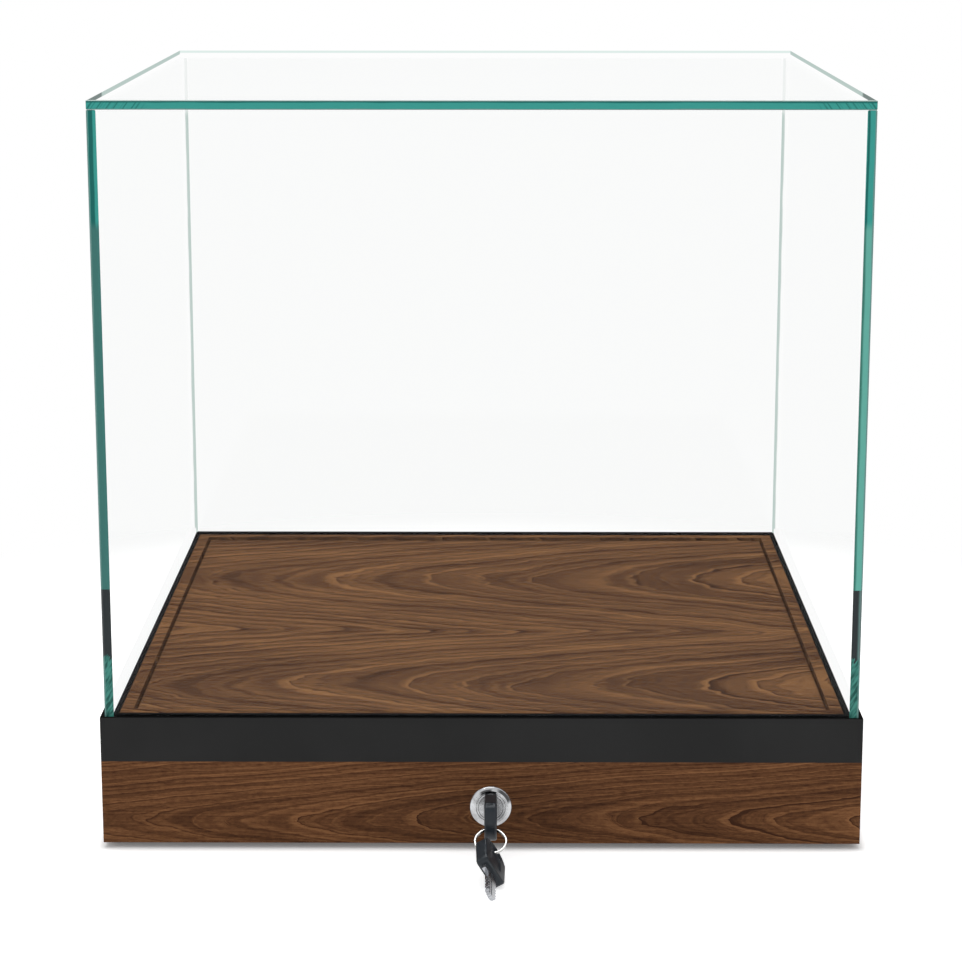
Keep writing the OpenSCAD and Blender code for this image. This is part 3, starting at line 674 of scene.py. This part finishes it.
def coated_metal(name, colour):
    """A matt powder coat: a fine grain in its relief, a soft change of tone, and upward faces darkened with
    painted shade.
    """
    f = Finish(name)
    where = f.join(*f.place())
    grain = f.noise(where, scale=2600, detail=2)
    cloud = f.noise(where, scale=14, detail=2)
    deeper, paler = opaque([c * 0.94 for c in colour]), opaque([c * 1.06 for c in colour])
    shade = f.colour(f.ease(cloud, 0.35, 0.65), deeper, paler)
    # Painted shade: faces that look up are mixed most of the way to black.
    up = f.more(f.split(f.geometry("True Normal"))[2], 0.5)
    shade = f.colour(f.times(up, 0.72), shade, (0.0, 0.0, 0.0, 1.0))
    return f.done(f.shader(
        "ShaderNodeBsdfPrincipled",
        Base_Color=shade,
        Roughness=f.total(0.66, f.swing(cloud, 0.08)),
        Specular_IOR_Level=0.0,
        Normal=f.bump(grain, 0.03 * MM, 0.4),
    ))


def turned_metal(name, colour, centre, roughness, edge, mirrors):
    """Plated metal turned on a lathe: fine rings round the centre, a dark line at the edge radius, where
    one piece turns in the other, and a faint haze of marks. Two dark patches at set angles and radii round
    the centre are painted reflections of dark surroundings; mirrors is their depth."""
    f = Finish(name)
    x, y, z = f.place()
    dx = f.minus(x, centre[0])
    dz = f.minus(z, centre[2])
    radius = f.math("SQRT", f.total(f.times(dx, dx), f.times(dz, dz)))
    rings = f.noise_along(radius, 9000, 2)
    haze = f.noise(f.join(x, y, z), scale=300, detail=3)
    shade = f.colour(f.ease(haze, 0.35, 0.65), opaque(colour), opaque([c * 0.78 for c in colour]))
    turn = f.math("ARCTAN2", dx, dz)  # radians clockwise from the top
    # Painted reflections: two dark patches on the face, where it would mirror dark surroundings.
    upper = f.times(f.within(turn, -0.60, 0.05, 0.1), f.within(radius, 8.3 * MM, 10 * MM, 0.3 * MM))
    lower = f.times(f.within(turn, 0.40, 1.30, 0.15), f.within(radius, 9.3 * MM, 10.8 * MM, 0.2 * MM))
    painted_reflections = f.times(f.math("MAXIMUM", upper, lower), mirrors)
    groove = f.within(radius, edge - 0.16 * MM, edge + 0.16 * MM, 0.1 * MM)
    dark = f.math("MAXIMUM", painted_reflections, f.times(groove, 0.75))
    shade = f.colour(dark, shade, opaque([c * 0.07 for c in colour]))
    return f.done(f.shader(
        "ShaderNodeBsdfPrincipled",
        Base_Color=shade,
        Metallic=1.0,
        Roughness=f.total(roughness, f.swing(haze, 0.06)),
        Normal=f.bump(rings, 0.01 * MM, 0.35),
    ))


def bright_metal(name, colour, roughness, grain_scale):
    """Plated or drawn metal with a fine mottle."""
    f = Finish(name)
    where = f.join(*f.place())
    mottle = f.noise(where, scale=grain_scale, detail=3)
    shade = f.colour(f.ease(mottle, 0.3, 0.7), opaque([c * 0.84 for c in colour]), opaque(colour))
    return f.done(f.shader(
        "ShaderNodeBsdfPrincipled",
        Base_Color=shade,
        Metallic=1.0,
        Roughness=f.total(roughness, f.swing(mottle, 0.08)),
        Normal=f.bump(mottle, 0.02 * MM, 0.4),
    ))


def soft_black(name, colour, roughness, grain):
    """Black plastic or rubber with a fine moulded grain."""
    f = Finish(name)
    where = f.join(*f.place())
    fine = f.noise(where, scale=grain, detail=2)
    wide = f.noise(where, scale=90, detail=2)
    deeper, paler = opaque([c * 0.88 for c in colour]), opaque([c * 1.1 for c in colour])
    shade = f.colour(f.ease(wide, 0.3, 0.7), deeper, paler)
    return f.done(f.shader(
        "ShaderNodeBsdfPrincipled",
        Base_Color=shade,
        Roughness=f.total(roughness, f.swing(wide, 0.07)),
        Specular_IOR_Level=0.32,
        Normal=f.bump(fine, 0.03 * MM, 0.35),
    ))


def seal_rubber(name, colour, strip, foot):
    """Black rubber. The outer walls of the side channels are only seen through the glass that stands in
    them, and so they are painted white with emission, a painted reflection of the white that the glass
    mirrors there. strip and foot are those of the glass."""
    f = Finish(name)
    x, y, z = f.place()
    nx, ny = f.split(f.geometry("True Normal"))[:2]
    side = f.less(f.times(nx, x), -0.05)
    end = f.less(f.times(ny, y), -0.05)
    across = f.over(f.minus(f.size(x), strip[0]), strip[1] - strip[0])
    # Painted reflection: the channels' outer walls, where seen over the lip, are white emission.
    wall = f.times(f.math("MAXIMUM", side, end), over_lip(f, z, across, foot))
    grain = f.noise(f.join(x, y, z), scale=1800, detail=2)
    rubber = f.shader(
        "ShaderNodeBsdfPrincipled", Base_Color=opaque(colour), Roughness=0.7, Specular_IOR_Level=0.02,
        Normal=f.bump(grain, 0.03 * MM, 0.3),
    )
    white = f.shader("ShaderNodeEmission", Color=(1.0, 1.0, 1.0, 1.0), Strength=1.0)
    return f.done(f.mixed(wall, rubber, white))


# Keys and ring

SLOT_AT = 4.4 * MM  # from a head's end to the middle of its slot
RING_SEAT = 0.25 * MM  # from there to the ring, towards the end


def ease_array(value, low, high):
    """Smooth step of an array from 0 at low to 1 at high: 3t^2 - 2t^3."""
    t = np.clip((value - low) / (high - low), 0, 1)
    return t * t * (3 - 2 * t)


def rounded_box_distance(u, v, centre, size, radius):
    """Distance of points to a rounded rectangle: how far the folded point lies past the inner corner."""
    du = np.abs(u - centre) - (size[0] / 2 - radius)
    dv = np.abs(v) - (size[1] / 2 - radius)
    outside = np.hypot(np.maximum(du, 0), np.maximum(dv, 0))
    return outside + np.minimum(np.maximum(du, dv), 0) - radius


def reach_of_discs(angles, centres, radius, start):
    """How far a ray from start runs inside the hull of equal discs.

    The hull's support in a direction n is h(n) = max(centre . n) + radius, and the ray in direction d
    leaves it at the least h(n) / (d . n) over all n that face along d.
    """
    facing = np.linspace(0, 2 * math.pi, 1440, endpoint=False)
    n = np.stack([np.cos(facing), np.sin(facing)], axis=1)
    support = ((np.asarray(centres) - start) @ n.T).max(axis=0) + radius
    d = np.stack([np.cos(angles), np.sin(angles)], axis=1)
    along = d @ n.T
    return np.where(along > 1e-3, support / np.maximum(along, 1e-3), np.inf).min(axis=1)


def head_surface(settings):
    """Key head as a ring of sections round its slot: columns turn about the slot, rows run from the slot's
    wall over the top face to the outer edge and back along the other face. Its height is the half thickness
    less a round over the edge, a dish at the slot and a sunk panel, each a smooth step of a distance."""
    length, width, thickness = settings.head_length, settings.head_width, settings.head_thickness
    slot_size, dish_size, dish_depth = (3.3 * MM, 9.8 * MM), (5.4 * MM, 11.6 * MM), 1.3 * MM
    corner, end_radius, edge, panel_depth = 2.5 * MM, 12 * MM, 1.1 * MM, 0.6 * MM
    panel_at, panel_size = 13.7 * MM, (10 * MM, 8.6 * MM)
    columns, face_rows = 288, 46
    angles = np.linspace(0, 2 * math.pi, columns, endpoint=False)
    start = np.array([SLOT_AT, 0.0])
    rear = (width - 1.6 * MM) / 2 - corner
    spots = [
        (at, side * half)
        for side in (-1, 1)
        for at, half in (
            (length - corner, rear),
            (end_radius / 2 + 1 * MM, width / 2 - corner),
            (corner, width / 2 - 2 * corner),
        )
    ]
    reach = reach_of_discs(angles, spots, corner, start)
    cosine = np.cos(angles)
    ahead = end_radius - SLOT_AT
    to_circle = ahead * cosine + np.sqrt(np.maximum((ahead * cosine) ** 2 + end_radius**2 - ahead**2, 0))
    reach = np.where(to_circle * cosine < ahead, np.minimum(reach, to_circle), reach)
    half_slot = slot_size[0] / 2
    straight = slot_size[1] / 2 - half_slot
    sine = np.abs(np.sin(angles))
    slot_reach = straight * sine + np.sqrt(np.maximum(half_slot**2 - (straight * cosine) ** 2, 0))
    slot_reach = np.where(
        slot_reach * sine < straight, half_slot / np.maximum(np.abs(cosine), 1e-6), slot_reach
    )
    share = np.sin(np.linspace(0, math.pi / 2, face_rows))[:, None] ** 1.2
    radius = slot_reach + share * (reach - slot_reach)
    u = SLOT_AT + radius * cosine
    v = radius * np.sin(angles)
    slant = np.arctan2(np.gradient(reach), reach * (angles[1] - angles[0]))
    to_edge = (reach - radius) * np.abs(np.cos(slant))
    fall = 1 - np.clip(to_edge / edge, 0, 1)
    height = thickness / 2 - edge * (1 - np.sqrt(1 - fall**2))
    dish = rounded_box_distance(u, v, SLOT_AT, dish_size, 2.4 * MM)
    panel = rounded_box_distance(u, v, panel_at, panel_size, 1.8 * MM)
    height = height - dish_depth * (1 - ease_array(dish, -0.25 * MM, 0.25 * MM))
    height = height - panel_depth * (1 - ease_array(panel, -0.3 * MM, 0.3 * MM))
    lip = ease_array(radius - slot_reach, 0, 0.4 * MM)
    height = height - 0.3 * MM * (1 - lip)
    top = np.stack([height, u, v], axis=-1)
    bottom = np.stack([-height, u, v], axis=-1)[::-1]
    return np.concatenate([top, bottom])


def turned(points, axis, angle):
    """Points turned about X (0), Y (1) or Z (2) by an angle."""
    a, b = [(1, 2), (2, 0), (0, 1)][axis]
    result = points.copy()
    result[..., a] = points[..., a] * math.cos(angle) - points[..., b] * math.sin(angle)
    result[..., b] = points[..., a] * math.sin(angle) + points[..., b] * math.cos(angle)
    return result


def ring_surface(settings, hook, low):
    """Split ring: a rounded section carried round two turns, one wire height apart.

    Rows are steps along the wire, columns go round its section, a superellipse. The wire climbs from the
    lower turn to the upper one by a smooth step of the angle, and its two ends are drawn to a blunt point.
    """
    steps, sides, jog = 420, 14, math.radians(20)
    hook, low = np.array(hook), np.array(low)
    centre = (hook + low) / 2
    radius = np.linalg.norm(low - hook) / 2
    down = (low - hook) / np.linalg.norm(low - hook)
    side = np.array([-1.0, 0.0, 0.0])
    square_to = np.cross(side, down)
    turn = np.linspace(jog, 4 * math.pi - jog, steps)
    climb = ease_array(np.degrees(turn), 340, 380) - 0.5
    lift = -(settings.wire_height + 0.04 * MM) * climb
    section = np.linspace(0, 2 * math.pi, sides, endpoint=False)
    power = 0.6
    out = np.sign(np.cos(section)) * np.abs(np.cos(section)) ** power * settings.wire_width / 2
    rise = np.sign(np.sin(section)) * np.abs(np.sin(section)) ** power * settings.wire_height / 2
    taper = np.clip(np.minimum(turn - turn[0], turn[-1] - turn) / 0.05, 0, 1)
    taper = np.sqrt(1 - (1 - taper) ** 2)[:, None]
    reach = radius + out[None, :] * taper
    height = lift[:, None] + rise[None, :] * taper
    return (
        centre
        + (np.sin(turn)[:, None] * reach)[..., None] * side
        + (np.cos(turn)[:, None] * reach)[..., None] * down
        + height[..., None] * square_to
    )


# Operators


class CASE_OT_stage(bpy.types.Operator):
    """Sets up the camera, the white floor, the even light and the lamp overhead"""

    bl_idname = "case.stage"
    bl_label = "Studio"

    def execute(self, context):
        settings = context.scene.case_stage
        camera = bpy.data.objects.new("camera", bpy.data.cameras.new("camera"))
        camera.location = settings.camera_place
        camera.rotation_euler = (math.pi / 2 - settings.camera_pitch, 0, settings.camera_yaw)
        camera.data.lens = settings.camera_lens
        camera.data.sensor_width = 36
        camera.data.shift_y = settings.camera_shift
        context.scene.collection.objects.link(camera)
        context.scene.camera = camera
        context.scene.view_settings.view_transform = "Standard"
        context.scene.cycles.transparent_max_bounces = 32
        self.light(context, settings)
        self.floor(context, settings)
        self.dark_card(context)
        return {"FINISHED"}

    def light(self, context, settings):
        world = bpy.data.worlds.new("white")
        world.use_nodes = True
        nodes, links = world.node_tree.nodes, world.node_tree.links
        nodes.clear()
        path = nodes.new("ShaderNodeLightPath")
        shown = path.outputs["Is Camera Ray"]
        for ray in ("Is Glossy Ray", "Is Transmission Ray"):
            either = nodes.new("ShaderNodeMath")
            either.operation = "MAXIMUM"
            links.new(shown, either.inputs[0])
            links.new(path.outputs[ray], either.inputs[1])
            shown = either.outputs[0]
        mix = nodes.new("ShaderNodeMixShader")
        links.new(shown, mix.inputs[0])
        for slot, strength in ((1, settings.sky), (2, 1.0)):
            background = nodes.new("ShaderNodeBackground")
            background.inputs["Color"].default_value = (1, 1, 1, 1)
            background.inputs["Strength"].default_value = strength
            links.new(background.outputs[0], mix.inputs[slot])
        links.new(mix.outputs[0], nodes.new("ShaderNodeOutputWorld").inputs["Surface"])
        context.scene.world = world
        lamp = bpy.data.objects.new("lamp", bpy.data.lights.new("lamp", "AREA"))
        lamp.data.size = settings.lamp_size
        lamp.data.energy = settings.lamp
        lamp.location = settings.lamp_place
        lamp.rotation_euler = (math.radians(-10), math.radians(-7), 0)
        context.scene.collection.objects.link(lamp)

    def floor(self, context, settings):
        """A white floor that takes the object's shadow. Away from the object, and for rays that show it, it
        turns evenly white. Its glow is weaker at and under the case's footprint, which paints shade there."""
        f = Finish("floor_white")
        path = f.node("ShaderNodeLightPath")
        shown = f.math("MAXIMUM", path.outputs["Is Camera Ray"], path.outputs["Is Glossy Ray"])
        shown = f.math("MAXIMUM", shown, path.outputs["Is Transmission Ray"])
        x, y = f.place()[:2]
        reach = f.math("SQRT", f.total(f.times(x, x), f.times(y, y)))
        far = f.times(f.ease(reach, 0.30, 0.55), shown)
        # Painted shade: the glow that lifts the floor to white falls from 0.56 to 0.12 at and under the
        # case's sides.
        half_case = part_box("skirt_front")[1].x
        past = f.minus(f.math("MAXIMUM", f.size(x), f.size(y)), half_case)
        glow_level = f.times(shown, f.ease(past, -1 * MM, 6 * MM, 0.12, 0.56))
        paper = f.shader("ShaderNodeBsdfDiffuse", Color=(0.9, 0.9, 0.9, 1))
        glow = f.shader("ShaderNodeEmission", Color=(1, 1, 1, 1), Strength=glow_level)
        lit = f.node("ShaderNodeAddShader")
        f.feed(lit.inputs[0], paper)
        f.feed(lit.inputs[1], glow)
        white = f.shader("ShaderNodeEmission", Color=(1, 1, 1, 1), Strength=1.0)
        half = settings.floor_size / 2
        mesh = bpy.data.meshes.new("floor")
        corners = [(-half, -half, 0), (half, -half, 0), (half, half, 0), (-half, half, 0)]
        mesh.from_pydata(corners, [], [(0, 1, 2, 3)])
        mesh.materials.append(f.done(f.mixed(far, lit.outputs[0], white)))
        floor = bpy.data.objects.new("floor", mesh)
        context.scene.collection.objects.link(floor)

    def dark_card(self, context):
        """A dark card above the front, seen in reflections alone, as studios hold it over shiny things."""
        f = Finish("card_black")
        mesh = bpy.data.meshes.new("card")
        half, (near, low), (far, high) = 0.9, (-1.3, 1.5), (-0.75, 1.7)
        corners = [(-half, near, low), (half, near, low), (half, far, high), (-half, far, high)]
        mesh.from_pydata(corners, [], [(0, 1, 2, 3)])
        mesh.materials.append(f.done(f.shader("ShaderNodeBsdfDiffuse", Color=(0.02, 0.02, 0.02, 1))))
        card = bpy.data.objects.new("card", mesh)
        card.visible_camera = False
        card.visible_diffuse = False
        card.visible_shadow = False
        card.visible_transmission = False
        context.scene.collection.objects.link(card)


class CASE_OT_walnut(bpy.types.Operator):
    """Finishes the skirt, the rim and the deck in walnut"""

    bl_idname = "case.walnut"
    bl_label = "Walnut"

    def execute(self, context):
        settings = context.scene.case_walnut
        deck = (settings.deck_dark, settings.deck_middle, settings.deck_light)
        skirt = (settings.skirt_dark, settings.skirt_middle, settings.skirt_light)
        # The middle, the depth of the cut and the start of the arches, for each row
        deck_rows = ((84 * MM, 61 * MM, 0.0), (-136 * MM, 46 * MM, 9 * MM))
        skirt_rows = ((16 * MM, 16 * MM, 6 * MM),)
        deck_gap, skirt_gap = 7.5 * MM, 2.3 * MM
        top = walnut("walnut_deck", settings, 0, deck_rows, deck_gap, deck, 0.0)
        finish_nodes(top, "deck_panel", "upstand_front", "upstand_back")
        rim = walnut("walnut_rim", settings, 1, deck_rows, deck_gap, deck, 0.0)
        finish_nodes(rim, "upstand_left", "upstand_right")
        for along, ways in enumerate((("front", "back"), ("left", "right"))):
            board = walnut(f"walnut_skirt_{along}", settings, along, skirt_rows, skirt_gap, skirt, 0.08)
            finish_nodes(board, *(f"skirt_{way}" for way in ways))
        return {"FINISHED"}


class CASE_OT_glass(bpy.types.Operator):
    """Finishes the five glass panels"""

    bl_idname = "case.glass"
    bl_label = "Glass"

    def execute(self, context):
        settings = context.scene.case_glass
        finish_nodes(glass("glass_sides", settings, 0, *side_wall()), "glass_left", "glass_right")
        low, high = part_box("glass_front")
        finish_nodes(glass("glass_ends", settings, 1, (-high.y, -low.y)), "glass_front", "glass_back")
        low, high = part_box("glass_top")
        finish_nodes(glass("glass_lid", settings, 2, (low.z, high.z)), "glass_top")
        return {"FINISHED"}


class CASE_OT_rails(bpy.types.Operator):
    """Finishes the rail frame, its seal and the catch"""

    bl_idname = "case.rails"
    bl_label = "Rail frame"

    def execute(self, context):
        settings = context.scene.case_metal
        coat = coated_metal("rail_coat", settings.rail)
        finish_nodes(coat, "rail_front", "rail_back", "rail_left", "rail_right")
        finish_nodes(soft_black("foot_rubber", tone(26, 26, 27), 0.6, 1800), "rubber_feet")
        finish_nodes(seal_rubber("seal_rubber", tone(22, 22, 23), *side_wall()), "glazing_seal")
        steel = bright_metal("plated_steel", settings.steel, 0.3, 900)
        finish_nodes(steel, "hood_catch", "catch_screws", "bottom_screws")
        finish_nodes(steel, "lock_nut", "lock_cam", "cam_screw")
        finish_nodes(bright_metal("bare_aluminium", tone(180, 182, 184), 0.36, 500), "rail_corner_keys")
        return {"FINISHED"}


class CASE_OT_base(bpy.types.Operator):
    """Finishes the hidden boards of the base"""

    bl_idname = "case.base"
    bl_label = "Bottom and cleats"

    def execute(self, context):
        finish_nodes(plywood("birch_ply"), "bottom_panel", "deck_cleats", "bottom_cleats")
        return {"FINISHED"}


class CASE_OT_lock(bpy.types.Operator):
    """Finishes the lock's face, plug and wafers"""

    bl_idname = "case.lock"
    bl_label = "Lock"

    def execute(self, context):
        settings = context.scene.case_metal
        centre = JOINTS["lock_turn"]["pos_m"]
        # The face takes painted dark reflections at depth 0.92, the plug none.
        face = turned_metal("chrome_face", settings.chrome, centre, 0.16, 7.7 * MM, 0.92)
        finish_nodes(face, "lock_housing")
        plug = turned_metal("chrome_plug", settings.chrome, centre, 0.2, 6.5 * MM, 0.0)
        finish_nodes(plug, "lock_plug")
        finish_nodes(bright_metal("wafer_brass", settings.brass, 0.3, 1200), "lock_wafers")
        return {"FINISHED"}


class CASE_OT_keys(bpy.types.Operator):
    """Makes the moulded key heads and finishes the blades"""

    bl_idname = "case.keys"
    bl_label = "Keys"

    def execute(self, context):
        settings = context.scene.case_keys
        plastic = soft_black("head_plastic", settings.plastic, 0.36, 2400)
        blade = bright_metal("blade_steel", tone(178, 180, 184), 0.24, 1500)
        finish_nodes(blade, "key_1_blade", "key_2_blade")
        head = head_surface(settings)
        low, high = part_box("key_1_head")
        first = head + np.array([(low.x + high.x) / 2, low.y, (low.z + high.z) / 2])
        surface("key_1_grip", first, (True, True), plastic, "key_1", ["key_1_head"])
        hang = np.array(JOINTS["spare_key_swing"]["pos_m"])
        second = turned(head - np.array([0, SLOT_AT - RING_SEAT, 0]), 2, math.pi)
        second = turned(second, 1, -settings.spare_turn)
        second = turned(second, 0, settings.spare_slope) + hang
        surface("key_2_grip", second, (True, True), plastic, "key_2", ["key_2_head"])
        return {"FINISHED"}


class CASE_OT_ring(bpy.types.Operator):
    """Makes the split ring that joins the keys"""

    bl_idname = "case.ring"
    bl_label = "Split ring"

    def execute(self, context):
        settings = context.scene.case_keys
        wire = bright_metal("ring_wire", tone(202, 201, 199), 0.16, 2200)
        points = ring_surface(settings, JOINTS["ring_swing"]["pos_m"], JOINTS["spare_key_swing"]["pos_m"])
        surface("split_ring", points, (False, True), wire, "ring", ["key_ring"])
        return {"FINISHED"}


class CASE_PT_panel(bpy.types.Panel):
    """Lists the case's operators in the sidebar"""

    bl_label = "Display Case"
    bl_idname = "CASE_PT_panel"
    bl_space_type = "VIEW_3D"
    bl_region_type = "UI"
    bl_category = "Display Case"

    def draw(self, context):
        for operator in OPERATORS:
            self.layout.operator(operator.bl_idname)


OPERATORS = (
    CASE_OT_stage, CASE_OT_walnut, CASE_OT_glass, CASE_OT_rails,
    CASE_OT_base, CASE_OT_lock, CASE_OT_keys, CASE_OT_ring,
)
GROUPS = {
    "case_walnut": WalnutSettings,
    "case_glass": GlassSettings,
    "case_metal": MetalSettings,
    "case_keys": KeySettings,
    "case_stage": StageSettings,
}


def register():
    for group in GROUPS.values():
        bpy.utils.register_class(group)
    for operator in OPERATORS:
        bpy.utils.register_class(operator)
    bpy.utils.register_class(CASE_PT_panel)
    for name, group in GROUPS.items():
        setattr(bpy.types.Scene, name, bpy.props.PointerProperty(type=group))


def unregister():
    for name in GROUPS:
        delattr(bpy.types.Scene, name)
    bpy.utils.unregister_class(CASE_PT_panel)
    for made in (*OPERATORS, *GROUPS.values()):
        bpy.utils.unregister_class(made)


def main():
    """Registers the add-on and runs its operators."""
    register()
    bpy.ops.case.stage()
    bpy.ops.case.walnut()
    bpy.ops.case.glass()
    bpy.ops.case.rails()
    bpy.ops.case.base()
    bpy.ops.case.lock()
    bpy.ops.case.keys()
    bpy.ops.case.ring()


if __name__ == "__main__":
    main()
